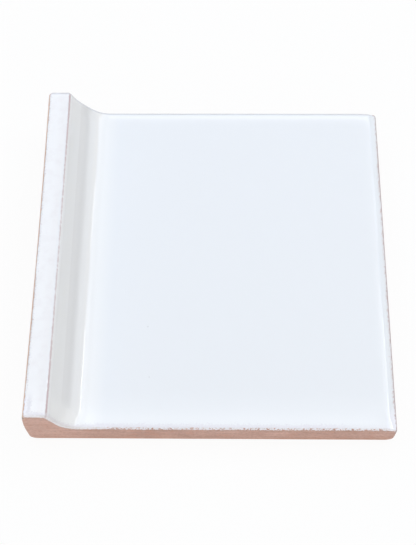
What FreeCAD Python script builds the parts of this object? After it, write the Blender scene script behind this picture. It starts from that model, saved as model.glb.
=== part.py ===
"""Coved trim tile: a flat field, a raised rim along one side and a hollow cove between them.

The tile is one fired piece. Its section is drawn once and run from end to end, then every long
edge gets the rounding it has on the real tile and both end outlines are eased. Millimetres, +Z
up. The tile lies on its flat back with the glazed face up. X runs across the section with the rim
on the negative side, Y runs along the rim, and the origin is at the centre of the back.
"""

import FreeCAD, Part
import math
import os

import Sketcher

NODE = "coved_tile"

SIZES = {
    # Outer sizes of the tile as it lies on its back.
    "tile_length": 100.0,
    "tile_width": 100.0,
    "field_thickness": 10.0,
    "rim_height": 21.0,
    # The rim's flat top, and its outer face: upright to the lean's start, then curving in to the top.
    "rim_width": 6.6,
    "rim_lean": 1.2,
    "lean_start": 7.0,
    # The cove's reach from the rim towards the field, its hollow radius and the rounding at its foot.
    "cove_reach": 8.0,
    "cove_radius": 20.0,
    "cove_foot_radius": 6.5,
    # The field's long edge rolls over by this radius and drop, down to the side.
    "field_edge_radius": 5.0,
    "field_edge_drop": 1.0,
    # Rounded long edges.
    "rim_inner_radius": 0.8,
    "back_edge_radius": 2.5,
    # The small rounding of the rim's outer arris, of the side's top and all round both ends.
    "arris_radius": 0.8,
}

# Two places count as one within this distance.
SAME_PLACE = 1e-4

# Ends of a line or an arc, and the origin, as a sketch numbers them.
START, END = 1, 2
ORIGIN = (-1, 1)


def make_sheet(doc):
    """Write the driving sizes to a spreadsheet, one named cell each."""
    sheet = doc.addObject("Spreadsheet::Sheet", "Sizes")
    for row, (alias, value) in enumerate(SIZES.items(), start=1):
        sheet.set(f"A{row}", alias)
        sheet.set(f"B{row}", str(value))
        sheet.setAlias(f"B{row}", alias)
    doc.recompute()
    return sheet


def arc_between(start, end, radius):
    """Return the short arc of the given radius that runs anticlockwise from start to end."""
    chord = end - start
    centre_height = math.sqrt(radius**2 - (chord.Length / 2) ** 2)
    left_of_chord = FreeCAD.Vector(-chord.y, chord.x, 0).normalize()
    centre = (start + end) / 2 + left_of_chord * centre_height
    first, last = (math.atan2(point.y - centre.y, point.x - centre.x) for point in (start, end))
    return Part.ArcOfCircle(Part.Circle(centre, FreeCAD.Vector(0, 0, 1), radius), first, last)


def draw_section(body, sheet):
    """Draw the closed section, bind it to the sheet, and return it with its corners by name."""
    half_width = sheet.tile_width / 2
    rim_outer_x = sheet.rim_lean - half_width
    rim_inner_x = rim_outer_x + sheet.rim_width
    edge_drop = sheet.field_edge_drop
    edge_run = math.sqrt(edge_drop * (2 * sheet.field_edge_radius - edge_drop))
    outline = {
        "back_outer": FreeCAD.Vector(-half_width, 0, 0),
        "back_field": FreeCAD.Vector(half_width, 0, 0),
        "field_edge": FreeCAD.Vector(half_width, sheet.field_thickness - edge_drop, 0),
        "field_end": FreeCAD.Vector(half_width - edge_run, sheet.field_thickness, 0),
        "cove_foot": FreeCAD.Vector(rim_inner_x + sheet.cove_reach, sheet.field_thickness, 0),
        "rim_inner": FreeCAD.Vector(rim_inner_x, sheet.rim_height, 0),
        "rim_outer": FreeCAD.Vector(rim_outer_x, sheet.rim_height, 0),
        "lean_start": FreeCAD.Vector(-half_width, sheet.lean_start, 0),
    }

    sketch = body.newObject("Sketcher::SketchObject", "Section")
    plane = next(item for item in body.Origin.OriginFeatures if item.Role == "XZ_Plane")
    sketch.AttachmentSupport = (plane, "")
    sketch.MapMode = "FlatFace"

    def line(first, last):
        return sketch.addGeometry(Part.LineSegment(outline[first], outline[last]), False)

    back = line("back_outer", "back_field")
    edge = line("back_field", "field_edge")
    rolled = arc_between(outline["field_edge"], outline["field_end"], sheet.field_edge_radius)
    roll = sketch.addGeometry(rolled, False)
    field = line("field_end", "cove_foot")
    hollow = arc_between(outline["rim_inner"], outline["cove_foot"], sheet.cove_radius)
    cove = sketch.addGeometry(hollow, False)
    rim = line("rim_inner", "rim_outer")
    lean_rise = sheet.rim_height - sheet.lean_start
    lean_radius = (lean_rise**2 + sheet.rim_lean**2) / (2 * sheet.rim_lean)
    leaning = arc_between(outline["rim_outer"], outline["lean_start"], lean_radius)
    lean = sketch.addGeometry(leaning, False)
    foot = line("lean_start", "back_outer")

    joined = [
        (back, END, edge, START),
        (edge, END, roll, START),
        (field, END, cove, END),
        (cove, START, rim, START),
        (rim, END, lean, START),
        (foot, END, back, START),
    ]
    for pair in joined:
        sketch.addConstraint(Sketcher.Constraint("Coincident", *pair))
    for arc, flat in ((roll, field), (lean, foot)):
        sketch.addConstraint(Sketcher.Constraint("Tangent", arc, END, flat, START))
    for level in (back, field, rim):
        sketch.addConstraint(Sketcher.Constraint("Horizontal", level))
    for upright in (edge, foot):
        sketch.addConstraint(Sketcher.Constraint("Vertical", upright))
    sketch.addConstraint(Sketcher.Constraint("Symmetric", back, START, back, END, *ORIGIN))

    bound = {
        "tile_width": ("DistanceX", back, START, back, END),
        "field_thickness": ("DistanceY", back, START, field, START),
        "field_edge_drop": ("DistanceY", edge, END, field, START),
        "field_edge_radius": ("Radius", roll),
        "rim_height": ("DistanceY", back, START, rim, END),
        "rim_lean": ("DistanceX", back, START, rim, END),
        "rim_width": ("DistanceX", rim, END, rim, START),
        "lean_start": ("DistanceY", back, START, lean, END),
        "cove_reach": ("DistanceX", cove, START, cove, END),
        "cove_radius": ("Radius", cove),
    }
    for alias, target in bound.items():
        index = sketch.addConstraint(Sketcher.Constraint(*target, sheet.get(alias)))
        sketch.renameConstraint(index, alias)
        sketch.setExpression(f"Constraints.{alias}", f"{sheet.Name}.{alias}")
    return sketch, outline


def long_edges(shape, outline, corners):
    """Name the edges that run along the tile at the given corners of its section."""
    places = [FreeCAD.Vector(outline[corner].x, 0, outline[corner].y) for corner in corners]
    return [
        f"Edge{number}"
        for number, edge in enumerate(shape.Edges, start=1)
        if any(edge.CenterOfMass.isEqual(place, SAME_PLACE) for place in places)
    ]


def end_edges(shape):
    """Name the edges that outline the two end faces."""
    ends = (shape.BoundBox.YMin, shape.BoundBox.YMax)
    return [
        f"Edge{number}"
        for number, edge in enumerate(shape.Edges, start=1)
        if any(abs(edge.BoundBox.Center.y - end) + edge.BoundBox.YLength < SAME_PLACE for end in ends)
    ]


def round_edges(body, sheet, base, name, edges, radius):
    """Round the named edges of the base feature with one size from the sheet."""
    fillet = body.newObject("PartDesign::Fillet", name)
    fillet.Base = (base, edges)
    fillet.setExpression("Radius", f"{sheet.Name}.{radius}")
    body.Document.recompute()
    return fillet


def make_tile(doc, sheet):
    """Build the tile: the section run along the length, then its edges from the largest rounding down."""
    body = doc.addObject("PartDesign::Body", "CovedTile")
    body.Label = NODE
    sketch, outline = draw_section(body, sheet)

    run = body.newObject("PartDesign::Pad", "Run")
    run.Profile = sketch
    run.SideType = "Symmetric"
    run.setExpression("Length", f"{sheet.Name}.tile_length")
    doc.recompute()

    roundings = [
        ("CoveFoot", ["cove_foot"], "cove_foot_radius"),
        ("BackEdges", ["back_outer", "back_field"], "back_edge_radius"),
        ("RimInnerEdge", ["rim_inner"], "rim_inner_radius"),
    ]
    feature = run
    for name, corners, radius in roundings:
        edges = long_edges(feature.Shape, outline, corners)
        feature = round_edges(body, sheet, feature, name, edges, radius)

    arrises = long_edges(feature.Shape, outline, ["rim_outer", "field_edge"]) + end_edges(feature.Shape)
    round_edges(body, sheet, feature, "Arrises", arrises, "arris_radius")
    return body


def check(doc, body):
    """Stop if any object of the document failed or the tile isn't one valid solid."""
    for item in doc.Objects:
        if "Invalid" in item.State or "Error" in item.State:
            raise RuntimeError(f"{item.Label} failed: {item.State}")
    if body.Shape.isNull() or not body.Shape.isValid() or len(body.Shape.Solids) != 1:
        raise RuntimeError(f"{body.Label} is not one valid solid")


def main():
    """Build the tile and write its node."""
    os.makedirs("parts", exist_ok=True)
    doc = FreeCAD.newDocument("CovedTrimTile")
    sheet = make_sheet(doc)
    body = make_tile(doc, sheet)
    check(doc, body)
    body.Shape.exportStep(os.path.join("parts", f"{body.Label}.step"))

    box = body.Shape.optimalBoundingBox(False)
    print(f"{body.Label}: {box.XLength:.2f} x {box.YLength:.2f} x {box.ZLength:.2f} mm")
    print(f"volume {body.Shape.Volume / 1000:.2f} cm3")


main()
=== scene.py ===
"""Coved trim tile: white glaze over bare terracotta, lying face up on a pale floor.

The tile is one piece. Its section is drawn from the same sizes as the solid, run along the rim by
a node tree, and given the relief that firing and handling leave: the rolled lip of the glaze, its
ragged edge, the drag marks of the cut ends and the grain of the bare clay.
"""

import logging
import math
from dataclasses import dataclass
from enum import Enum
from typing import Any, Mapping, Optional, Sequence, Tuple, Union

import bmesh
import bpy
import numpy as np
from mathutils import Matrix, Vector
from mathutils.geometry import delaunay_2d_cdt


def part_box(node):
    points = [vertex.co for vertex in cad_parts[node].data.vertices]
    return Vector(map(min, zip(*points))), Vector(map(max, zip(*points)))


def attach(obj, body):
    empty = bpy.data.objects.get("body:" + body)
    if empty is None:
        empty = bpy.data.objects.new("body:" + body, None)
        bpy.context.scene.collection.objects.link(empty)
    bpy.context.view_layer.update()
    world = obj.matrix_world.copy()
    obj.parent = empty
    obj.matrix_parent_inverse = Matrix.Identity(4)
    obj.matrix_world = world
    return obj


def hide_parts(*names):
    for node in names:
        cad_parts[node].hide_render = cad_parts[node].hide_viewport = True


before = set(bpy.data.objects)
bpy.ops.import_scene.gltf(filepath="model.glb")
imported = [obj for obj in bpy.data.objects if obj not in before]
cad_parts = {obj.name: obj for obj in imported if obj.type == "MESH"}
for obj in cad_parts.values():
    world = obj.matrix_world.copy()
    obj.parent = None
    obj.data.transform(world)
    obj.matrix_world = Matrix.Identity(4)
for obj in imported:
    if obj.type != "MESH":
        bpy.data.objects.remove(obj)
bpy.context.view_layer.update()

NODE = "coved_tile"
BODY = "root"

MM = 0.001
PER_MM = (1 / MM, 1 / MM, 1 / MM)
IMAGE_HEIGHT = 545

LOG = logging.getLogger("coved_tile")

Colour = Tuple[float, float, float, float]
Point = Tuple[float, float, float]
Operand = Union["Signal", float]

WHITE: Colour = (1.0, 1.0, 1.0, 1.0)


class Spacing(Enum):
    """Distance between mesh stations on a stretch of the section, in metres."""

    ARRIS = 0.16 * MM
    FINE = 0.34 * MM
    FIELD = 0.42 * MM
    SIDE = 0.7 * MM
    BACK = 2.0 * MM


class Signal:
    """A node's output that takes part in Python expressions, where each operator adds a Math node."""

    def __init__(self, nodes: "Nodes", socket: bpy.types.NodeSocket) -> None:
        """Wrap an output socket.

        Args:
            nodes: The tree that the socket is in.
            socket: The output socket.
        """
        self.nodes = nodes
        self.socket = socket

    def __add__(self, other: Operand) -> "Signal":
        """Return the sum."""
        return self.nodes.math("ADD", self, other)

    __radd__ = __add__

    def __sub__(self, other: Operand) -> "Signal":
        """Return the difference."""
        return self.nodes.math("SUBTRACT", self, other)

    def __rsub__(self, other: Operand) -> "Signal":
        """Return the difference from a number."""
        return self.nodes.math("SUBTRACT", other, self)

    def __mul__(self, other: Operand) -> "Signal":
        """Return the product."""
        return self.nodes.math("MULTIPLY", self, other)

    __rmul__ = __mul__

    def __truediv__(self, other: Operand) -> "Signal":
        """Return the quotient."""
        return self.nodes.math("DIVIDE", self, other)

    def __pow__(self, other: Operand) -> "Signal":
        """Return the power."""
        return self.nodes.math("POWER", self, other)

    def ease(self, low: float, high: float, start: float = 0.0, end: float = 1.0) -> "Signal":
        """Ease smoothly from one value to another.

        Args:
            low: Value of this signal where the result leaves its start.
            high: Value of this signal where the result reaches its end.
            start: Result at and before low.
            end: Result at and past high.

        Returns:
            The eased signal.
        """
        sockets = {"Value": self, "From Min": low, "From Max": high, "To Min": start, "To Max": end}
        node = self.nodes.node("ShaderNodeMapRange", {"interpolation_type": "SMOOTHSTEP"}, sockets)
        return Signal(self.nodes, node.outputs["Result"])


class Nodes:
    """A shader or geometry tree that nodes are added to from Python expressions."""

    def __init__(self, tree: bpy.types.NodeTree) -> None:
        """Start on a tree, whose nodes are cleared.

        Args:
            tree: The tree to fill.
        """
        self.tree = tree
        tree.nodes.clear()

    def node(
        self,
        kind: str,
        settings: Optional[Mapping[str, Any]] = None,
        sockets: Optional[Mapping[Union[str, int], Any]] = None,
    ) -> bpy.types.Node:
        """Add a node.

        Args:
            kind: The node's type.
            settings: Properties of the node, which are set first.
            sockets: Values or links for its inputs, by name or number.

        Returns:
            The new node.
        """
        node = self.tree.nodes.new(kind)
        for name, value in (settings or {}).items():
            setattr(node, name, value)
        for key, value in (sockets or {}).items():
            self.feed(node.inputs[key], value)
        return node

    def feed(self, socket: bpy.types.NodeSocket, value: Any) -> None:
        """Link a signal or an output to an input, or set the input's own value.

        Args:
            socket: The input.
            value: A signal, an output socket or a plain value.
        """
        if isinstance(value, Signal):
            self.tree.links.new(value.socket, socket)
        elif isinstance(value, bpy.types.NodeSocket):
            self.tree.links.new(value, socket)
        else:
            socket.default_value = value

    def signal(
        self,
        kind: str,
        output: Union[str, int] = 0,
        settings: Optional[Mapping[str, Any]] = None,
        sockets: Optional[Mapping[Union[str, int], Any]] = None,
    ) -> Signal:
        """Add a node and return one of its outputs.

        Args:
            kind: The node's type.
            output: The output's name or number.
            settings: Properties of the node.
            sockets: Values or links for its inputs.

        Returns:
            The output as a signal.
        """
        return Signal(self, self.node(kind, settings, sockets).outputs[output])

    def math(self, operation: str, *values: Operand) -> Signal:
        """Add a Math node.

        Args:
            operation: The node's operation.
            values: Its inputs in order.

        Returns:
            The result.
        """
        return self.signal("ShaderNodeMath", 0, {"operation": operation}, dict(enumerate(values)))

    def least(self, first: Operand, second: Operand) -> Signal:
        """Return the smaller of two values."""
        return self.math("MINIMUM", first, second)

    def most(self, first: Operand, second: Operand) -> Signal:
        """Return the larger of two values."""
        return self.math("MAXIMUM", first, second)

    def stretch(self, vector: Signal, scale: Point) -> Signal:
        """Scale a vector along each axis.

        Args:
            vector: The vector.
            scale: A factor for each axis.

        Returns:
            The scaled vector.
        """
        sockets = {0: vector, 1: scale}
        return self.signal("ShaderNodeVectorMath", 0, {"operation": "MULTIPLY"}, sockets)

    def noise(self, vector: Signal, scale: float, detail: float = 2.0, roughness: float = 0.5) -> Signal:
        """Sample soft noise, which runs from about -0.5 to 0.5.

        Args:
            vector: Where to sample.
            scale: Features per unit of the vector.
            detail: Number of finer layers.
            roughness: Weight of the finer layers.

        Returns:
            The noise about zero.
        """
        sockets = {"Vector": vector, "Scale": scale, "Detail": detail, "Roughness": roughness}
        return self.signal("ShaderNodeTexNoise", 0, None, sockets) - 0.5

    def blend(self, factor: Operand, first: Any, second: Any) -> Signal:
        """Mix two colours.

        Args:
            factor: Share of the second colour.
            first: Colour or signal at 0.
            second: Colour or signal at 1.

        Returns:
            The mixed colour.
        """
        settings = {"data_type": "RGBA"}
        colour_sockets = {0: factor, 6: first, 7: second}
        return self.signal("ShaderNodeMix", 2, settings, colour_sockets)


@dataclass(frozen=True)
class Bend:
    """A round stretch of the section's outline, followed by a straight one.

    Attributes:
        centre: Centre of the arc in the section's plane.
        radius: Radius of the arc, negative where the face is hollow.
        first: Direction of the outward normal where the arc starts, in radians.
        last: Direction of the outward normal where the arc ends.
        spacing: Station spacing on the arc.
        run_spacing: Station spacing on the straight stretch after it.
    """

    centre: Tuple[float, float]
    radius: float
    first: float
    last: float
    spacing: Spacing
    run_spacing: Spacing

    def point(self, normal: float, inset: float) -> np.ndarray:
        """Return the place on the arc with the given normal, moved inwards by the inset."""
        reach = self.radius - inset
        return np.array(self.centre) + reach * np.array([math.cos(normal), math.sin(normal)])


@dataclass(frozen=True)
class Stations:
    """Points along the section's outline, each with its outward normal and its distance travelled.

    Attributes:
        places: Places on the inset outline, one row each.
        normals: Outward unit normals.
        travel: Distance along the full outline from its start.
        marks: Distance travelled at the start of each bend and at its end, by bend.
    """

    places: np.ndarray
    normals: np.ndarray
    travel: np.ndarray
    marks: Mapping[str, Tuple[float, float]]


@dataclass(frozen=True)
class TileSizes:
    """Real sizes of the tile in metres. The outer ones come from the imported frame."""

    length: float
    width: float
    rim_height: float
    field_thickness: float = 10.0 * MM
    rim_width: float = 6.6 * MM
    rim_lean: float = 1.2 * MM
    lean_start: float = 7.0 * MM
    cove_reach: float = 8.0 * MM
    cove_radius: float = 20.0 * MM
    cove_foot_radius: float = 6.5 * MM
    rim_inner_radius: float = 0.8 * MM
    rim_outer_radius: float = 0.9 * MM
    field_edge_radius: float = 5.0 * MM
    field_edge_drop: float = 1.0 * MM
    side_arris_radius: float = 0.9 * MM
    back_edge_radius: float = 2.5 * MM
    end_edge_radius: float = 0.8 * MM

    @classmethod
    def from_frame(cls) -> "TileSizes":
        """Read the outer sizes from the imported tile."""
        low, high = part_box(NODE)
        return cls(length=high[1] - low[1], width=high[0] - low[0], rim_height=high[2] - low[2])

    @property
    def rim_inner_x(self) -> float:
        """Place across the tile where the rim's top would meet the cove with no rounding."""
        return self.rim_lean + self.rim_width - self.width / 2

    @property
    def cove_foot_x(self) -> float:
        """Place across the tile where the cove would meet the field with no rounding."""
        return self.rim_inner_x + self.cove_reach

    def cove_centre(self) -> Tuple[float, float]:
        """Find the centre of the cove's hollow from its radius, reach and drop.

        Returns:
            The centre across the tile and above its back.
        """
        drop = self.rim_height - self.field_thickness
        chord = math.hypot(self.cove_reach, drop)
        height = math.sqrt(self.cove_radius**2 - chord**2 / 4)
        middle_x = (self.rim_inner_x + self.cove_foot_x) / 2
        middle_z = (self.rim_height + self.field_thickness) / 2
        return middle_x + height * drop / chord, middle_z + height * self.cove_reach / chord

    def bends(self) -> Mapping[str, Bend]:
        """Lay out the outline's round stretches.

        Returns:
            The bends in order by name, up the outer face and over to the back.
        """
        half = self.width / 2
        up, left, right, down = math.pi / 2, math.pi, 0.0, -math.pi / 2

        lean_rise = self.rim_height - self.lean_start
        lean_radius = (lean_rise**2 + self.rim_lean**2) / (2 * self.rim_lean)
        lean_x = lean_radius - half
        outer_z = self.rim_height - self.rim_outer_radius
        outer_rise = outer_z - self.lean_start
        outer_x = lean_x - math.sqrt((lean_radius - self.rim_outer_radius) ** 2 - outer_rise**2)
        lean_top = math.atan2(outer_rise, outer_x - lean_x)

        cove_x, cove_z = self.cove_centre()
        inner_z = self.rim_height - self.rim_inner_radius
        inner_reach = self.cove_radius + self.rim_inner_radius
        inner_x = cove_x - math.sqrt(inner_reach**2 - (cove_z - inner_z) ** 2)
        cove_top = math.atan2(cove_z - inner_z, cove_x - inner_x)
        foot_z = self.field_thickness + self.cove_foot_radius
        foot_reach = self.cove_radius - self.cove_foot_radius
        foot_x = cove_x - math.sqrt(foot_reach**2 - (cove_z - foot_z) ** 2)
        cove_foot = math.atan2(cove_z - foot_z, cove_x - foot_x)

        roll, drop = self.field_edge_radius, self.field_edge_drop
        roll_x = half - math.sqrt(drop * (2 * roll - drop))
        roll_z = self.field_thickness - roll
        side_x = half - self.side_arris_radius
        side_rise = math.sqrt((roll - self.side_arris_radius) ** 2 - (side_x - roll_x) ** 2)
        roll_end = math.atan2(side_rise, side_x - roll_x)

        back, side_arris = self.back_edge_radius, self.side_arris_radius
        fine, arris, side = Spacing.FINE, Spacing.ARRIS, Spacing.SIDE
        return {
            "back_outer": Bend((back - half, back), back, left + up, left, side, side),
            "lean": Bend((lean_x, self.lean_start), lean_radius, left, lean_top, side, fine),
            "rim_outer": Bend((outer_x, outer_z), self.rim_outer_radius, lean_top, up, arris, fine),
            "rim_inner": Bend((inner_x, inner_z), self.rim_inner_radius, up, cove_top, arris, fine),
            "cove": Bend((cove_x, cove_z), -self.cove_radius, cove_top, cove_foot, fine, fine),
            "cove_foot": Bend((foot_x, foot_z), -self.cove_foot_radius, cove_foot, up, fine, Spacing.FIELD),
            "field_roll": Bend((roll_x, roll_z), roll, up, roll_end, fine, fine),
            "field_edge": Bend((side_x, roll_z + side_rise), side_arris, roll_end, right, arris, side),
            "back_field": Bend((half - back, back), back, right, down, side, Spacing.BACK),
        }

    def stations(self, inset: float) -> Stations:
        """Place stations round the whole outline.

        Args:
            inset: How far inside the outline the stations lie.

        Returns:
            The stations in order.
        """
        places, normals, travel, marks = [], [], [], {}
        travelled = 0.0
        bends = self.bends()
        following = list(bends.values())[1:] + list(bends.values())[:1]
        for (name, bend), after in zip(bends.items(), following):
            length = abs(bend.radius * (bend.last - bend.first))
            count = max(2, math.ceil(length / bend.spacing.value))
            for share in np.arange(count) / count:
                normal = bend.first + share * (bend.last - bend.first)
                places.append(bend.point(normal, inset))
                normals.append((math.cos(normal), math.sin(normal)))
                travel.append(travelled + share * length)
            marks[name] = (travelled, travelled + length)
            travelled += length

            start, end = bend.point(bend.last, inset), after.point(after.first, inset)
            length = float(np.linalg.norm(end - start))
            count = max(1, math.ceil(length / bend.run_spacing.value))
            for share in np.arange(count) / count:
                places.append(start + share * (end - start))
                normals.append((math.cos(bend.last), math.sin(bend.last)))
                travel.append(travelled + share * length)
            travelled += length
        return Stations(np.array(places), np.array(normals), np.array(travel), marks)


@dataclass(frozen=True)
class Coat:
    """How the glaze lies on the clay, in metres.

    Attributes:
        lip: Height of the glaze's edge above the bare clay.
        end_line: Distance from an end face's edge, round its rounding, to the glaze.
        far_line: How much further the glaze runs down over the far end.
        cove_run: How much further the glaze runs down over the ends in the cove.
        outer_line: Distance from the end of the rim's outer rounding to where the glaze starts.
        field_line: Distance from the start of the side's arris to where the glaze ends.
        pillow: Drop of the glaze towards both ends.
        side_pillow: Drop of the glaze towards the field's long edge.
        pillow_reach: How far in from an edge the drop starts.
        rim_bow: How far the rim's middle bows in.
        cove_drift: How far the cove's foot drifts towards the rim from the far end to the near one.
        cove_hook: How far the foot turns towards the rim close to the near end.
        far_turn: How far the foot turns towards the field close to the far end.
        far_corner: Rounding of both outer corners at the far end.
    """

    lip: float = 0.16 * MM
    end_line: float = 0.12 * MM
    far_line: float = 0.5 * MM
    cove_run: float = 0.5 * MM
    outer_line: float = -0.5 * MM
    field_line: float = 0.05 * MM
    pillow: float = 0.22 * MM
    side_pillow: float = 0.30 * MM
    pillow_reach: float = 6.5 * MM
    rim_bow: float = 0.25 * MM
    cove_drift: float = 0.7 * MM
    cove_hook: float = 1.1 * MM
    far_turn: float = 0.8 * MM
    far_corner: float = 1.3 * MM


class RunTree(Nodes):
    """Geometry tree that runs the section along the rim and gives the tile its relief."""

    INPUTS = (
        ("Length", "NodeSocketFloat"),
        ("Steps", "NodeSocketInt"),
        ("End Radius", "NodeSocketFloat"),
        ("Lip", "NodeSocketFloat"),
        ("End Line", "NodeSocketFloat"),
        ("Far Line", "NodeSocketFloat"),
        ("Cove Run", "NodeSocketFloat"),
        ("Cove Middle", "NodeSocketFloat"),
        ("Cove Width", "NodeSocketFloat"),
        ("Field Edge", "NodeSocketFloat"),
        ("Pillow", "NodeSocketFloat"),
        ("Side Pillow", "NodeSocketFloat"),
        ("Pillow Reach", "NodeSocketFloat"),
        ("Rim Bow", "NodeSocketFloat"),
        ("Cove Drift", "NodeSocketFloat"),
        ("Cove Hook", "NodeSocketFloat"),
        ("Far Turn", "NodeSocketFloat"),
        ("Far Corner", "NodeSocketFloat"),
        ("Cove Foot", "NodeSocketFloat"),
        ("Rim Inner", "NodeSocketFloat"),
        ("Seed", "NodeSocketFloat"),
        ("Material", "NodeSocketMaterial"),
    )

    def __init__(self, name: str) -> None:
        """Make the tree with its named inputs.

        Args:
            name: Name of the tree.
        """
        super().__init__(bpy.data.node_groups.new(name, "GeometryNodeTree"))
        interface = self.tree.interface
        interface.new_socket("Geometry", in_out="INPUT", socket_type="NodeSocketGeometry")
        for label, kind in self.INPUTS:
            interface.new_socket(label, in_out="INPUT", socket_type=kind)
        interface.new_socket("Geometry", in_out="OUTPUT", socket_type="NodeSocketGeometry")
        self.entry = self.node("NodeGroupInput")
        self.fill()

    def given(self, label: str) -> Signal:
        """Return one of the tree's inputs."""
        return Signal(self, self.entry.outputs[label])

    def attribute(self, name: str, kind: str = "FLOAT") -> Signal:
        """Return a stored attribute of the geometry."""
        return self.signal("GeometryNodeInputNamedAttribute", 0, {"data_type": kind}, {"Name": name})

    def split(self, vector: Signal) -> Tuple[Signal, Signal, Signal]:
        """Return the three parts of a vector."""
        node = self.node("ShaderNodeSeparateXYZ", None, {0: vector})
        return tuple(Signal(self, output) for output in node.outputs)

    def joined(self, x: Operand, y: Operand, z: Operand) -> Signal:
        """Return a vector of three parts."""
        return self.signal("ShaderNodeCombineXYZ", 0, None, {0: x, 1: y, 2: z})

    def scaled(self, vector: Signal, factor: Signal) -> Signal:
        """Return a vector times a number."""
        sockets = {0: vector, "Scale": factor}
        return self.signal("ShaderNodeVectorMath", 0, {"operation": "SCALE"}, sockets)

    def moved(self, geometry: Signal, offset: Signal) -> Signal:
        """Return the geometry with every point moved by its offset."""
        return self.signal("GeometryNodeSetPosition", 0, None, {"Geometry": geometry, "Offset": offset})

    def fill(self) -> None:
        """Add the nodes: the run, the rounded ends, the glaze's cover, the relief and the finish."""
        body = self.run_section(self.given("Geometry"))
        body = self.round_ends(body)
        body = self.store_cover(body)
        body = self.raise_relief(body)
        smooth = self.signal("GeometryNodeSetShadeSmooth", 0, None, {0: body})
        real = self.signal("GeometryNodeRealizeInstances", 0, None, {"Geometry": smooth})
        sockets = {"Geometry": real, "Material": self.given("Material")}
        dressed = self.signal("GeometryNodeSetMaterial", 0, None, sockets)
        self.node("NodeGroupOutput", None, {"Geometry": dressed})

    def run_section(self, sheet: Signal) -> Signal:
        """Run the sheet's outline along the length and close both ends with the sheet.

        Args:
            sheet: The flat section, in the plane of X and Z.

        Returns:
            The closed body.
        """
        half = self.given("Length") / 2.0
        neighbours = self.signal("GeometryNodeInputMeshEdgeNeighbors")
        outline = self.signal(
            "GeometryNodeMeshToCurve",
            0,
            None,
            {"Mesh": sheet, "Selection": self.math("COMPARE", neighbours, 1.0, 0.5)},
        )
        upright = (math.pi / 2, 0.0, 0.0)
        profile = self.signal("GeometryNodeTransform", 0, None, {"Geometry": outline, "Rotation": upright})

        ends = {"Start": self.joined(0.0, half * -1.0, 0.0), "End": self.joined(0.0, half, 0.0)}
        rail = self.signal("GeometryNodeCurvePrimitiveLine", 0, None, ends)
        rail = self.signal(
            "GeometryNodeResampleCurve", 0, {"mode": "COUNT"}, {"Curve": rail, "Count": self.given("Steps")}
        )
        # Stations crowd towards both ends, where the roundings are.
        crowding = 0.4
        along = self.signal("GeometryNodeSplineParameter", "Factor") * 2.0 - 1.0
        crowded = along * (1.0 + crowding) - crowding * (along ** 3.0)
        rail = self.moved(rail, self.joined(0.0, half * (crowded - along), 0.0))
        rail = self.signal("GeometryNodeSetCurveNormal", 0, {"mode": "Z_UP"}, {"Curve": rail})
        wall = self.signal("GeometryNodeCurveToMesh", 0, None, {"Curve": rail, "Profile Curve": profile})

        near = self.moved(sheet, self.joined(0.0, half * -1.0, 0.0))
        far = self.moved(sheet, self.joined(0.0, half, 0.0))
        far = self.signal("GeometryNodeFlipFaces", 0, None, {"Mesh": far})
        whole = self.node("GeometryNodeJoinGeometry")
        for piece in (wall, near, far):
            self.tree.links.new(piece.socket, whole.inputs[0])
        same_place = 0.002 * MM
        merge = {"Geometry": whole.outputs[0], "Distance": same_place}
        return self.signal("GeometryNodeMergeByDistance", 0, None, merge)

    def from_end(self) -> Signal:
        """Return the distance of a point from the nearer end face."""
        _, y, _ = self.split(self.signal("GeometryNodeInputPosition"))
        return self.given("Length") / 2.0 - self.math("ABSOLUTE", y)

    def round_ends(self, body: Signal) -> Signal:
        """Swell the inset section to its full size over a quarter round at both ends.

        Args:
            body: The body with the inset section all along.

        Returns:
            The body with rounded ends.
        """
        radius = self.given("End Radius")
        short = self.most(radius - self.from_end(), 0.0)
        swell = self.math("SQRT", self.most(radius * radius - short * short, 0.0))
        return self.moved(body, self.scaled(self.attribute("outward", "FLOAT_VECTOR"), swell))

    def store_cover(self, body: Signal) -> Signal:
        """Store how far inside the glaze each point lies, in millimetres, with a ragged edge.

        Args:
            body: The rounded body.

        Returns:
            The body with its glaze_cover attribute.
        """
        radius = self.given("End Radius")
        place = self.signal("GeometryNodeInputPosition")
        x, y, _ = self.split(place)
        end = self.from_end()
        turned = self.math("ARCCOSINE", self.most(radius - end, 0.0) / radius) * radius
        round_end = turned + self.most(end - radius, 0.0) - self.attribute("depth")
        off_cove = self.math("ABSOLUTE", x - self.given("Cove Middle")) / self.given("Cove Width")
        end_line = self.given("End Line") - self.given("Cove Run") * off_cove.ease(1.0, 0.2)
        end_line = end_line - self.given("Far Line") * self.math("GREATER_THAN", y, 0.0)
        cover = self.least(round_end - end_line, self.attribute("across")) / MM

        shifted = self.signal(
            "ShaderNodeVectorMath",
            0,
            {"operation": "ADD"},
            {0: self.stretch(place, PER_MM), 1: self.joined(self.given("Seed"), 0.0, 0.0)},
        )
        ragged = self.noise(shifted, 1.1, 3.0, 0.6) * 0.9 + self.noise(shifted, 0.16) * 0.5
        sockets = {"Geometry": body, "Name": "glaze_cover", "Value": cover + ragged}
        settings = {"data_type": "FLOAT", "domain": "POINT"}
        return self.signal("GeometryNodeStoreNamedAttribute", 0, settings, sockets)

    def raise_relief(self, body: Signal) -> Signal:
        """Sink the bare clay, soften the glaze's edges and shift the rim, the cove's foot and the corners.

        Args:
            body: The body with its glaze cover.

        Returns:
            The body with its relief.
        """
        place = self.signal("GeometryNodeInputPosition")
        x, y, _ = self.split(place)
        in_mm = self.stretch(place, PER_MM)
        half = self.given("Length") / 2.0
        from_near, from_far = (half + y) / MM, (half - y) / MM
        cover = self.attribute("glaze_cover")
        glazed = cover.ease(-0.05, 0.3)
        bare = 1.0 - glazed

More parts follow.
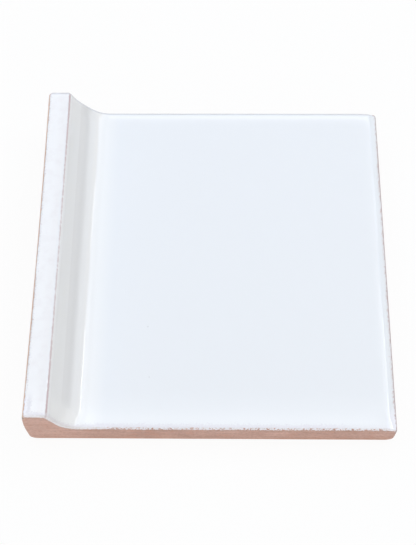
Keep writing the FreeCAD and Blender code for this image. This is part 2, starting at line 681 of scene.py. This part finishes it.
        near_lip = cover.ease(-3.0, -0.3, 0.25, 1.0)
        drag = self.noise(self.stretch(in_mm, (0.05, 0.05, 1.4)), 1.0, 3.0, 0.6) * 0.07 + 0.04
        grain = self.noise(in_mm, 0.7, 3.0, 0.6) * 0.05 + 0.03
        sink = bare * (self.given("Lip") * near_lip + (drag + grain) * MM)

        reach = self.given("Pillow Reach")
        past_rim = (x - self.given("Rim Inner")) / MM
        end_slack = self.most(1.0 - self.from_end() / reach, 0.0) ** 2.0
        side_slack = self.most(1.0 - (self.given("Field Edge") - x) / reach, 0.0) ** 2.0
        # The glaze gathers at the side's near corner, so there the edge rises.
        gathered_rise = -0.9
        side_slack = side_slack * from_near.ease(5.5, 0.5, 1.0, gathered_rise)
        ripple_height = 0.03 * MM
        ripple = (self.noise(in_mm, 0.05, 1.0) + 0.5) * ripple_height
        pillow = self.given("Pillow") * end_slack * past_rim.ease(0.0, 6.0, 0.4, 1.0)
        settle = glazed * (pillow + self.given("Side Pillow") * side_slack + ripple)

        normal = self.signal("GeometryNodeInputNormal")
        body = self.moved(body, self.scaled(normal, (sink + settle) * -1.0))

        middle = 1.0 - (y * 2.0 / self.given("Length")) ** 2.0
        bow = self.given("Rim Bow") * self.most(middle, 0.0) * past_rim.ease(12.0, 0.0)

        past_foot = (x - self.given("Cove Foot")) / MM
        on_foot = past_foot.ease(-8.0, -3.5) * past_foot.ease(8.0, 1.0)
        drift = self.given("Cove Drift") * from_near.ease(95.0, 35.0, 0.35, 1.0)
        hook = self.given("Cove Hook") * from_near.ease(5.5, 0.5)
        turn = self.given("Far Turn") * from_far.ease(4.5, 0.5)

        corner = self.given("Far Corner")
        short = self.most(1.0 - self.from_end() / corner, 0.0) * self.math("GREATER_THAN", y, 0.0)
        off_side = (self.given("Field Edge") - x) / MM
        inward = past_rim.ease(-4.0, -6.6) - off_side.ease(3.0, 0.6)
        turned_in = corner * (1.0 - self.math("SQRT", 1.0 - short * short)) * inward
        return self.moved(body, self.joined(bow + turned_in + on_foot * (turn - drift - hook), 0.0, 0.0))


@dataclass(frozen=True)
class Spot:
    """Where a shaded point lies on the tile, as signals in millimetres.

    Attributes:
        place: Place in the tile's own frame.
        outer: Distance from the rim's outer side.
        side: Distance from the field's side.
        near: Distance from the near end.
        far: Distance from the far end.
        height: Height above the back.
        below_top: Distance below the rim's top.
        past_arris: Distance from the rim's worn inner arris, towards the field.
        above_arris: Height above that arris.
    """

    place: Signal
    outer: Signal
    side: Signal
    near: Signal
    far: Signal
    height: Signal
    below_top: Signal
    past_arris: Signal
    above_arris: Signal

    @classmethod
    def read(cls, nodes: Nodes, sizes: TileSizes) -> "Spot":
        """Read the place from the tile's own coordinates.

        Args:
            nodes: The material's tree.
            sizes: The tile's sizes.

        Returns:
            The signals.
        """
        place = nodes.stretch(nodes.signal("ShaderNodeTexCoord", "Object"), PER_MM)
        split = nodes.node("ShaderNodeSeparateXYZ", None, {0: place})
        x, y, z = (Signal(nodes, output) for output in split.outputs)
        half_width, half_length = sizes.width / 2 / MM, sizes.length / 2 / MM
        rim_top = sizes.rim_height / MM
        # The worn arris lies a little inside the sharp corner of the rim and the cove.
        worn_in, worn_down = 0.35, 0.45
        return cls(
            place=place,
            outer=x + half_width,
            side=half_width - x,
            near=y + half_length,
            far=half_length - y,
            height=z,
            below_top=rim_top - z,
            past_arris=x - (sizes.rim_inner_x / MM - worn_in),
            above_arris=z - (rim_top - worn_down),
        )


@dataclass(frozen=True)
class GlazedClay:
    """Finish of the tile: gloss white glaze that thins over the arrises, and bare terracotta below.

    Attributes:
        sizes: The tile's sizes, which the finish takes its places from.
        glaze: Colour of the glaze where it lies thick.
        rim_glaze_painted_light: Colour of the glaze on the rim's top, lighter than the field's as painted
            light, and warmer where it lies thinner.
        pooled: Colour of the glaze that pooled at the cove's foot.
        clay: Colour of the bare clay's darker streaks.
        pale_clay: Colour of the clay's lighter streaks.
        dark_clay: Colour of its pores, and of the clay along the glaze's edge.
        foot_clay: Colour of the clay low down, by the back.
        red_clay: Colour of the clay's redder patches.
        outer_clay: Colour of the clay high up on the rim's outer face.
        film: Colour of the side's top, greyer and darker than the clay below it.
        far_side_grey: Colour of the side's top close to the far end.
        thin_glaze: Colour of the glaze close to its edge at the near end.
        edge_glaze: Colour of the glaze close to its other edges.
        far_glaze: Colour of the glaze over the far end's rounding, where it is drawn thin.
        side_glaze_painted_reflection: Colour of the glaze on the field's rolled edge, bluer as a painted
            reflection.
        thick_glaze_and_highlight: Colour of the glaze that gathered at the cove's near end, lighter there
            also as a painted highlight.
        lip_glaze_painted_light: Colour of the glaze that gathered along its near edge, lighter and bluer
            there also as painted light on the front-facing lip.
        show_through: Colour of the glaze where the clay shows through it.
        speck_and_painted_shade: Colour of the glaze's pinholes and of the dark mark, and of the painted
            shade along the middle of the cove.
        dark_mark: Place of the dark mark on the rim's corner: its distance from the outer side, from the
            near end and below the rim's top, in millimetres.
        glaze_roughness: Roughness of the glaze.
        clay_roughness: Roughness of the bare clay.
        refraction: Index of refraction of the glaze.
    """

    sizes: TileSizes
    glaze: Colour = (0.845, 0.845, 0.845, 1.0)
    rim_glaze_painted_light: Colour = (0.935, 0.915, 0.90, 1.0)
    pooled: Colour = (0.90, 0.885, 0.86, 1.0)
    clay: Colour = (0.48, 0.28, 0.225, 1.0)
    pale_clay: Colour = (0.745, 0.487, 0.417, 1.0)
    dark_clay: Colour = (0.36, 0.19, 0.145, 1.0)
    foot_clay: Colour = (0.68, 0.38, 0.285, 1.0)
    red_clay: Colour = (0.62, 0.335, 0.255, 1.0)
    outer_clay: Colour = (0.88, 0.64, 0.50, 1.0)
    film: Colour = (0.50, 0.42, 0.43, 1.0)
    far_side_grey: Colour = (0.50, 0.48, 0.47, 1.0)
    thin_glaze: Colour = (0.75, 0.715, 0.745, 1.0)
    edge_glaze: Colour = (0.76, 0.74, 0.76, 1.0)
    far_glaze: Colour = (0.70, 0.70, 0.73, 1.0)
    side_glaze_painted_reflection: Colour = (0.835, 0.86, 0.89, 1.0)
    thick_glaze_and_highlight: Colour = (0.93, 0.93, 0.925, 1.0)
    lip_glaze_painted_light: Colour = (0.93, 0.91, 0.98, 1.0)
    show_through: Colour = (0.55, 0.40, 0.41, 1.0)
    speck_and_painted_shade: Colour = (0.30, 0.26, 0.25, 1.0)
    dark_mark: Point = (1.1, 0.55, 1.7)
    glaze_roughness: float = 0.04
    clay_roughness: float = 0.82
    refraction: float = 1.7

    def material(self, name: str) -> bpy.types.Material:
        """Build the material.

        Args:
            name: Name of the material.

        Returns:
            The material.
        """
        material = bpy.data.materials.new(name)
        material.use_nodes = True
        nodes = Nodes(material.node_tree)
        spot = Spot.read(nodes, self.sizes)

        cover = nodes.signal("ShaderNodeAttribute", "Fac", {"attribute_name": "glaze_cover"})
        flecks = nodes.noise(spot.place, 2.9, 2.0, 0.6)
        edge = cover + nodes.least(flecks, 0.0) * 3.0 + nodes.most(flecks, 0.0) * 1.5
        nicks = nodes.noise(spot.place, 1.9, 2.0, 0.6).ease(0.04, 0.07) * cover.ease(1.2, 0.75)
        nicks = nicks * spot.outer.ease(17.0, 24.0) * spot.side.ease(2.0, 4.0) * spot.near.ease(10.0, 5.0)
        glazed = edge.ease(-0.04, 0.08) * (1.0 - nicks)

        bare = self.clay_colour(nodes, spot, cover)
        colour = nodes.blend(glazed, bare, self.glaze_colour(nodes, spot, edge))
        mark_in, mark_along, mark_down = self.dark_mark
        across = (spot.outer - mark_in) ** 2.0 + (spot.near - mark_along) ** 2.0
        off_mark = nodes.math("SQRT", across + (spot.below_top - mark_down) ** 2.0)
        mark_edge, mark_core, mark_share = 0.9, 0.4, 0.9
        colour = nodes.blend(off_mark.ease(mark_edge, mark_core) * mark_share, colour, self.speck_and_painted_shade)
        roughness = glazed * (self.glaze_roughness - self.clay_roughness) + self.clay_roughness

        streaks = nodes.noise(nodes.stretch(spot.place, (0.05, 0.05, 3.2)), 1.0, 3.0, 0.6)
        grain = nodes.noise(spot.place, 3.5, 3.0, 0.65)
        height = (1.0 - glazed) * (streaks * 0.10 + grain * 0.06)
        bump = nodes.signal("ShaderNodeBump", 0, None, {"Strength": 1.0, "Distance": MM, "Height": height})

        sockets = {"Base Color": colour, "Roughness": roughness, "IOR": self.refraction, "Normal": bump}
        shader = nodes.signal("ShaderNodeBsdfPrincipled", 0, None, sockets)
        nodes.node("ShaderNodeOutputMaterial", None, {"Surface": shader})
        return material

    def clay_colour(self, nodes: Nodes, spot: Spot, cover: Signal) -> Signal:
        """Colour the bare clay with streaks, grain and pores.

        Args:
            nodes: The material's tree.
            spot: Where the point lies.
            cover: Distance inside the glaze's edge in millimetres.

        Returns:
            The colour.
        """
        streaks = nodes.noise(nodes.stretch(spot.place, (0.10, 0.10, 0.8)), 1.0, 4.0, 0.6)
        grain = nodes.noise(spot.place, 1.3, 3.0, 0.7)
        patches = nodes.noise(spot.place, 0.10, 2.0)
        rim_end = spot.outer.ease(16.0, 10.0) * 0.22
        light = (streaks * 1.0 + grain * 1.2 + patches * 0.8 + rim_end).ease(-0.5, 0.55)
        colour = nodes.blend(light, self.clay, self.pale_clay)
        red = nodes.noise(spot.place, 0.35, 3.0, 0.6).ease(0.0, 0.2) * 0.55
        colour = nodes.blend(red, colour, self.red_clay)
        low = spot.height.ease(2.2, 1.0) * 0.55
        colour = nodes.blend(low, colour, self.foot_clay)
        pores = nodes.noise(spot.place, 1.4, 1.0).ease(0.19, 0.27) * 0.6
        seam = cover.ease(-1.3, -0.3) * 0.22
        colour = nodes.blend(nodes.most(pores, seam), colour, self.dark_clay)
        high = (spot.below_top - streaks * 4.0 - grain * 2.0).ease(3.5, 1.0) * spot.outer.ease(2.2, 1.4)
        colour = nodes.blend(high * 0.8, colour, self.outer_clay)
        # The top of the field's side is coloured greyer and darker.
        side_top = spot.side.ease(1.1, 0.3) * spot.height.ease(6.5, 8.2)
        film = nodes.blend(spot.far.ease(14.0, 5.0), self.film, self.far_side_grey)
        return nodes.blend(side_top * grain.ease(-0.25, 0.0, 0.4, 1.0), colour, film)

    def glaze_colour(self, nodes: Nodes, spot: Spot, edge: Signal) -> Signal:
        """Colour the glaze, with the clay showing through along worn and thin places, and with painted
        light, shade and reflection in places.

        Args:
            nodes: The material's tree.
            spot: Where the point lies.
            edge: Distance inside the glaze's edge in millimetres.

        Returns:
            The colour.
        """
        past = spot.past_arris
        on_rim = past.ease(0.5, -1.0) * spot.above_arris.ease(-2.0, 0.0)
        # Painted light: the rim's top is coloured lighter than the field.
        colour = nodes.blend(on_rim, self.glaze, self.rim_glaze_painted_light)
        pool = past.ease(6.0, 8.5) * past.ease(15.0, 9.0)
        colour = nodes.blend(pool, colour, self.pooled)
        # Painted shade: a faint dark streak along the middle of the cove.
        painted_cove_shade = past.ease(2.75, 3.05) * past.ease(5.8, 4.0) * (1.0 - on_rim) * spot.near.ease(2.0, 8.0)
        colour = nodes.blend(painted_cove_shade * 0.085, colour, self.speck_and_painted_shade)
        # The glaze gathers at the cove's near end; its lighter colour there is also a painted highlight.
        thick = spot.near.ease(8.0, 2.5) * past.ease(0.3, 1.5) * past.ease(14.0, 9.0)
        colour = nodes.blend(thick * 0.5, colour, self.thick_glaze_and_highlight)
        # Painted reflection: the field's rolled edge is tinted blue.
        colour = nodes.blend(spot.side.ease(3.0, 1.8), colour, self.side_glaze_painted_reflection)
        colour = nodes.blend(spot.far.ease(1.25, 0.7) * 0.9, colour, self.far_glaze)

        off_arris = nodes.math("SQRT", past ** 2.0 + spot.above_arris ** 2.0)
        worn = nodes.noise(spot.place, 0.9, 3.0, 0.65)
        arris = (off_arris + worn * 0.45).ease(0.48, 0.20) * worn.ease(-0.2, 0.1, 0.75, 1.0)
        arris = arris * spot.far.ease(0.2, 1.4)
        mottle = on_rim * nodes.noise(spot.place, 0.45, 2.0).ease(-0.1, 0.3) * 0.08
        inner_side = on_rim * past.ease(-3.5, -1.0) * 0.06
        through = nodes.least(arris + mottle + inner_side, 1.0)
        colour = nodes.blend(through, colour, self.show_through)

        at_near = spot.near.ease(8.0, 3.0)
        thin = nodes.blend(at_near, self.edge_glaze, self.thin_glaze)
        drawn = edge.ease(2.3, 1.5) * edge.ease(0.4, 1.2) * at_near * spot.side.ease(8.0, 20.0, 0.3, 0.9)
        closing = edge.ease(0.8, 0.1) * (1.0 - at_near)
        colour = nodes.blend((drawn + closing) * 0.8, colour, thin)
        # Painted light: the near lip and the side's near corner are coloured lighter and bluer where the
        # glaze gathers.
        gathered = at_near * nodes.most(edge.ease(1.0, 0.3), spot.side.ease(3.5, 2.0) * 0.6)
        colour = nodes.blend(gathered, colour, self.lip_glaze_painted_light)

        cell_sockets = {"Vector": spot.place, "Scale": 0.12}
        cell = nodes.node("ShaderNodeTexVoronoi", {"voronoi_dimensions": "3D"}, cell_sockets)
        close = Signal(nodes, cell.outputs["Distance"]).ease(0.03, 0.018)
        pick = nodes.node("ShaderNodeSeparateColor", None, {0: cell.outputs["Color"]})
        chosen = Signal(nodes, pick.outputs[0]).ease(0.60, 0.62)
        return nodes.blend(close * chosen * 0.25, colour, self.speck_and_painted_shade)


@dataclass
class Tile:
    """The tile: its sizes, its coat and the methods that make and dress its mesh."""

    sizes: TileSizes
    coat: Coat
    steps: int = 180
    seed: float = 4.0
    cap_spacing: float = 0.65 * MM

    def section_sheet(self) -> bpy.types.Object:
        """Make the flat end face, with the attributes that the run needs.

        Returns:
            The sheet, in the plane of X and Z.
        """
        inset = self.sizes.end_edge_radius
        stations = self.sizes.stations(inset)
        count = len(stations.places)
        inner = self.inner_points(stations.places)
        flat = [Vector(place) for place in np.vstack([stations.places, inner])]
        loop = [(i, (i + 1) % count) for i in range(count)]
        inside_only, same_place = 1, 1e-9
        places, _, faces, origins, _, _ = delaunay_2d_cdt(flat, loop, [], inside_only, same_place)

        mesh = bpy.data.meshes.new("tile_section")
        mesh.from_pydata([(p.x, 0.0, p.y) for p in places], [], [list(face) for face in faces])
        source = np.array([origin[0] for origin in origins])
        rim = source < count
        outward = np.zeros((len(source), 3))
        outward[rim, 0] = stations.normals[source[rim], 0]
        outward[rim, 2] = stations.normals[source[rim], 1]
        self.store(mesh, "outward", "FLOAT_VECTOR", "vector", outward)

        glaze_start = stations.marks["rim_outer"][1] + self.coat.outer_line
        glaze_end = stations.marks["field_edge"][0] + self.coat.field_line
        well_inside = 1.0
        across = np.full(len(source), well_inside)
        travel = stations.travel[source[rim]]
        across[rim] = np.minimum(travel - glaze_start, glaze_end - travel)
        self.store(mesh, "across", "FLOAT", "value", across)

        depth = self.depth_inside(np.array([(p.x, p.y) for p in places]), stations.places)
        depth[rim] = 0.0
        self.store(mesh, "depth", "FLOAT", "value", depth)

        sheet = bpy.data.objects.new("tile_section", mesh)
        bpy.context.scene.collection.objects.link(sheet)
        return sheet

    @staticmethod
    def store(mesh: bpy.types.Mesh, name: str, kind: str, field: str, values: np.ndarray) -> None:
        """Store one value for each vertex.

        Args:
            mesh: The mesh.
            name: Name of the attribute.
            kind: Its data type.
            field: Which field of its entries is set.
            values: The values in the order of the vertices.
        """
        attribute = mesh.attributes.new(name, kind, "POINT")
        attribute.data.foreach_set(field, np.ascontiguousarray(values, dtype=np.float32).ravel())

    @staticmethod
    def depth_inside(points: np.ndarray, outline: np.ndarray) -> np.ndarray:
        """Measure how far each point lies from the outline.

        Args:
            points: Points in the section's plane.
            outline: Corners of the closed outline.

        Returns:
            One distance for each point.
        """
        start = outline
        run = np.roll(outline, -1, axis=0) - start
        least_span = 1e-18
        span = np.maximum((run**2).sum(axis=1), least_span)
        nearest = np.full(len(points), np.inf)
        for first, step, square in zip(start, run, span):
            share = np.clip(((points - first) @ step) / square, 0.0, 1.0)
            gap = points - (first + share[:, None] * step)
            nearest = np.minimum(nearest, np.hypot(gap[:, 0], gap[:, 1]))
        return nearest

    def inner_points(self, outline: np.ndarray) -> np.ndarray:
        """Spread points over the inside of the section, in staggered rows.

        Args:
            outline: Corners of the closed outline.

        Returns:
            The points.
        """
        step = self.cap_spacing
        low, high = outline.min(axis=0), outline.max(axis=0)
        rows = np.arange(low[1] + step / 2, high[1], step * math.sqrt(3) / 2)
        columns = np.arange(low[0] + step / 2, high[0], step)
        spread = np.array([(x + step / 2 * (row % 2), z) for row, z in enumerate(rows) for x in columns])
        inside = np.zeros(len(spread), dtype=bool)
        for (ax, az), (bx, bz) in zip(outline, np.roll(outline, -1, axis=0)):
            if az == bz:
                continue
            crosses = (spread[:, 1] < az) != (spread[:, 1] < bz)
            reach = ax + (spread[:, 1] - az) / (bz - az) * (bx - ax)
            inside ^= crosses & (spread[:, 0] < reach)
        spread = spread[inside]
        clearance = step * 0.6
        return spread[self.depth_inside(spread, outline) > clearance]

    def build(self, finish: GlazedClay) -> bpy.types.Object:
        """Run the section, apply the tree with the finish, attach the tile to its body and hide the
        imported part.

        Args:
            finish: The tile's finish.

        Returns:
            The finished piece.
        """
        sheet = self.section_sheet()
        tree = RunTree("Tile run")
        modifier = sheet.modifiers.new("Tile run", "NODES")
        modifier.node_group = tree.tree
        sizes, coat = self.sizes, self.coat
        values = {
            "Length": sizes.length,
            "Steps": self.steps,
            "End Radius": sizes.end_edge_radius,
            "Lip": coat.lip,
            "End Line": coat.end_line,
            "Far Line": coat.far_line,
            "Cove Run": coat.cove_run,
            "Cove Middle": (sizes.rim_inner_x + sizes.cove_foot_x) / 2,
            "Cove Width": sizes.cove_reach,
            "Field Edge": sizes.width / 2,
            "Pillow": coat.pillow,
            "Side Pillow": coat.side_pillow,
            "Pillow Reach": coat.pillow_reach,
            "Rim Bow": coat.rim_bow,
            "Cove Drift": coat.cove_drift,
            "Cove Hook": coat.cove_hook,
            "Far Turn": coat.far_turn,
            "Far Corner": coat.far_corner,
            "Cove Foot": sizes.cove_foot_x,
            "Rim Inner": sizes.rim_inner_x,
            "Seed": self.seed,
            "Material": finish.material("glazed_clay"),
        }
        inputs = [item for item in tree.tree.interface.items_tree if item.in_out == "INPUT"]
        identifiers = {item.name: item.identifier for item in inputs}
        for label, value in values.items():
            modifier[identifiers[label]] = value

        settled = sheet.evaluated_get(bpy.context.evaluated_depsgraph_get())
        mesh = bpy.data.meshes.new_from_object(settled)
        mesh.name = "glazed_tile"
        tile = bpy.data.objects.new("glazed_tile", mesh)
        bpy.context.scene.collection.objects.link(tile)
        bpy.data.objects.remove(sheet)
        self.face_outwards(mesh)

        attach(tile, BODY)
        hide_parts(NODE)
        return tile

    @staticmethod
    def face_outwards(mesh: bpy.types.Mesh) -> None:
        """Turn every face of a closed mesh outwards.

        Args:
            mesh: The mesh.
        """
        work = bmesh.new()
        work.from_mesh(mesh)
        bmesh.ops.recalc_face_normals(work, faces=work.faces)
        work.to_mesh(mesh)
        work.free()


@dataclass(frozen=True)
class SoftBox:
    """A soft lamp.

    Attributes:
        name: Name of the lamp.
        place: Where the middle of its face is, in metres.
        size: Width and height of its face, in metres.
        radiance: Brightness of its face, where 1 is white.
        tint: Colour of its light.
        facing: Direction that it faces.
    """

    name: str
    place: Point
    size: Tuple[float, float]
    radiance: float
    tint: Point = (1.0, 1.0, 1.0)
    facing: Point = (0.0, 0.0, -1.0)

    def build(self) -> bpy.types.Object:
        """Add the lamp to the scene.

        Returns:
            The lamp.
        """
        data = bpy.data.lights.new(self.name, "AREA")
        data.shape = "RECTANGLE"
        data.size, data.size_y = self.size
        data.energy = self.radiance * math.pi * self.size[0] * self.size[1]
        data.color = self.tint
        lamp = bpy.data.objects.new(self.name, data)
        aim = Vector(self.facing).to_track_quat("-Z", "Y").to_matrix().to_4x4()
        lamp.matrix_world = Matrix.Translation(self.place) @ aim
        bpy.context.scene.collection.objects.link(lamp)
        return lamp


@dataclass(frozen=True)
class Panel:
    """A bright rectangle of the ceiling.

    Attributes:
        name: Name of its lamp.
        across: Left and right edges, in metres.
        along: Near and far edges, in metres.
        radiance: Brightness that it adds, where 1 is white.
        tint: Colour of its light.
    """

    name: str
    across: Tuple[float, float]
    along: Tuple[float, float]
    radiance: float
    tint: Point = (1.0, 1.0, 1.0)

    def lamp(self, height: float) -> SoftBox:
        """Make the lamp that fills the panel's rectangle.

        Args:
            height: Height of the lamp in metres.

        Returns:
            The lamp.
        """
        place = (sum(self.across) / 2, sum(self.along) / 2, height)
        size = (self.across[1] - self.across[0], self.along[1] - self.along[0])
        return SoftBox(self.name, place, size, self.radiance, self.tint)


@dataclass(frozen=True)
class Overhead:
    """A soft ceiling over the tile, with brighter panels hung below it that add to its light.

    Attributes:
        height: Height of the ceiling above the floor, in metres.
        step: How far each panel hangs below the one before it.
        panels: The whole ceiling first, then its brighter panels.
    """

    # Left and right edges that several panels share.
    WHOLE = (-1.0, 0.70)
    RIGHT = (0.28, 0.70)
    RIGHT_EDGE = (0.645, 0.70)

    height: float = 1.0
    step: float = 0.01
    panels: Tuple[Panel, ...] = (
        Panel("ceiling", WHOLE, (-0.06, 0.97), 0.88, (0.69, 1.0, 1.47)),
        Panel("near_strip", WHOLE, (-0.06, 0.265), 0.28),
        Panel("near_band", WHOLE, (0.02, 0.225), 0.25),
        Panel("near_edge", WHOLE, (0.10, 0.185), 0.3),
        Panel("far_strip", WHOLE, (0.72, 0.84), 0.25),
        Panel("far_edge", WHOLE, (0.77, 0.815), 1.2),
        Panel("right_side", RIGHT, (-0.40, 0.97), 0.4),
        Panel("near_right", RIGHT, (-0.40, 0.43), 0.35),
        Panel("near_lip", RIGHT_EDGE, (-0.40, 0.42), 7.0),
        Panel("middle_lip", RIGHT_EDGE, (0.42, 0.525), 1.2),
        Panel("far_lip", (0.625, 0.70), (0.525, 0.64), 3.8),
    )

    def lamps(self) -> Tuple[SoftBox, ...]:
        """Return the lamps of all panels."""
        return tuple(panel.lamp(self.height - level * self.step) for level, panel in enumerate(self.panels))


@dataclass(frozen=True)
class Studio:
    """Pale floor, even surrounding light and soft lamps.

    Attributes:
        ambient: Strength of the surrounding light.
        ambient_tint: Colour of the surrounding light.
        floor_side: Side of the floor, in metres.
        floor_share: How much of the floor's own shading the camera sees, the rest being white.
        floor_colour: Colour of the floor.
        overhead: The ceiling of lamps.
        front: The lamp that lights the near end.
        side: The lamp that lights the cove.
    """

    ambient: float = 0.44
    ambient_tint: Colour = (1.10, 1.0, 0.835, 1.0)
    floor_side: float = 6.0
    floor_share: float = 0.06
    floor_colour: Colour = (0.88, 0.88, 0.88, 1.0)
    overhead: Overhead = Overhead()
    front: SoftBox = SoftBox("front", (0.0, -0.9, 0.25), (1.2, 0.4), 1.07, facing=(0.0, 1.0, -0.25))
    side: SoftBox = SoftBox("side", (1.6, 0.5, 1.0), (2.2, 1.4), 0.51, (0.98, 1.0, 1.02), (-1.0, 0.0, 0.0))

    def build(self) -> None:
        """Light the scene and lay the floor."""
        scene = bpy.context.scene
        scene.view_settings.view_transform = "Standard"
        self.build_world()
        self.build_floor()
        for lamp in (*self.overhead.lamps(), self.front, self.side):
            lamp.build()

    def seen(self, nodes: Nodes) -> Signal:
        """Tell rays that show the background itself from rays that carry light.

        Args:
            nodes: The tree to read the rays in.

        Returns:
            1 for rays that show it and 0 for the others.
        """
        path = nodes.node("ShaderNodeLightPath")
        camera, glossy = (Signal(nodes, path.outputs[name]) for name in ("Is Camera Ray", "Is Glossy Ray"))
        transmitted = Signal(nodes, path.outputs["Is Transmission Ray"])
        return nodes.least(camera + glossy + transmitted, 1.0)

    def build_world(self) -> None:
        """Surround the scene with soft light that looks white, dim low on the right in all but the view."""
        world = bpy.data.worlds.new("Surround")
        world.use_nodes = True
        bpy.context.scene.world = world
        nodes = Nodes(world.node_tree)
        direction = nodes.signal("ShaderNodeTexCoord", "Generated")
        towards = nodes.node("ShaderNodeSeparateXYZ", None, {0: direction})
        right = Signal(nodes, towards.outputs[0]).ease(0.2, 0.6)
        ahead = Signal(nodes, towards.outputs[1]).ease(0.20, 0.28)
        height = Signal(nodes, towards.outputs[2])
        dim = self.ambient * (1.0 - right * height.ease(0.45, 0.05))
        camera = nodes.signal("ShaderNodeLightPath", "Is Camera Ray")
        shown = 1.0 - (1.0 - camera) * right * ahead * height.ease(0.25, 0.0, 0.0, 0.6)
        soft = nodes.signal("ShaderNodeBackground", 0, None, {"Color": self.ambient_tint, "Strength": dim})
        white = nodes.signal("ShaderNodeBackground", 0, None, {"Color": WHITE, "Strength": shown})
        shader = nodes.signal("ShaderNodeMixShader", 0, None, {0: self.seen(nodes), 1: soft, 2: white})
        nodes.node("ShaderNodeOutputWorld", None, {"Surface": shader})

    def build_floor(self) -> None:
        """Lay the floor, which looks white and keeps a soft shadow of the tile."""
        work = bmesh.new()
        bmesh.ops.create_grid(work, x_segments=1, y_segments=1, size=self.floor_side / 2)
        mesh = bpy.data.meshes.new("floor")
        work.to_mesh(mesh)
        work.free()
        floor = bpy.data.objects.new("floor", mesh)
        bpy.context.scene.collection.objects.link(floor)

        material = bpy.data.materials.new("pale_floor")
        material.use_nodes = True
        nodes = Nodes(material.node_tree)
        matt = nodes.signal("ShaderNodeBsdfDiffuse", 0, None, {"Color": self.floor_colour})
        white = nodes.signal("ShaderNodeEmission", 0, None, {"Color": WHITE, "Strength": 1.0})
        share = self.seen(nodes) * (1.0 - self.floor_share)
        shader = nodes.signal("ShaderNodeMixShader", 0, None, {0: share, 1: matt, 2: white})
        nodes.node("ShaderNodeOutputMaterial", None, {"Surface": shader})
        mesh.materials.append(material)


@dataclass(frozen=True)
class Viewpoint:
    """The camera, where the photograph was taken from.

    Attributes:
        place: Where the lens is, in metres.
        pitch: How far it looks down, in degrees.
        yaw: How far it turns left, in degrees.
        roll: How far it leans, in degrees.
        focal_pixels: Focal length in pixels of the photograph.
        film: Height of the film, in millimetres.
    """

    place: Point = (2.56 * MM, -124.28 * MM, 276.88 * MM)
    pitch: float = 65.718
    yaw: float = 1.765
    roll: float = -1.419
    focal_pixels: float = 1028.1
    film: float = 36.0

    def build(self) -> bpy.types.Object:
        """Add the camera and make it the scene's own.

        Returns:
            The camera.
        """
        data = bpy.data.cameras.new("viewpoint")
        data.sensor_fit = "VERTICAL"
        data.sensor_height = self.film
        data.lens = self.focal_pixels / IMAGE_HEIGHT * self.film
        data.clip_start = 0.01
        camera = bpy.data.objects.new("viewpoint", data)
        camera.matrix_world = (
            Matrix.Translation(self.place)
            @ Matrix.Rotation(math.radians(self.yaw), 4, "Z")
            @ Matrix.Rotation(math.radians(90.0 - self.pitch), 4, "X")
            @ Matrix.Rotation(math.radians(self.roll), 4, "Z")
        )
        bpy.context.scene.collection.objects.link(camera)
        bpy.context.scene.camera = camera
        return camera


def main() -> None:
    """Build the tile, light it, place the camera and log the tile's face count."""
    logging.basicConfig(level=logging.INFO, format="%(name)s: %(message)s")
    sizes = TileSizes.from_frame()
    tile = Tile(sizes, Coat()).build(GlazedClay(sizes))
    LOG.info("%s: %d faces", tile.name, len(tile.data.polygons))
    Studio().build()
    Viewpoint().build()


if __name__ == "__main__":
    main()
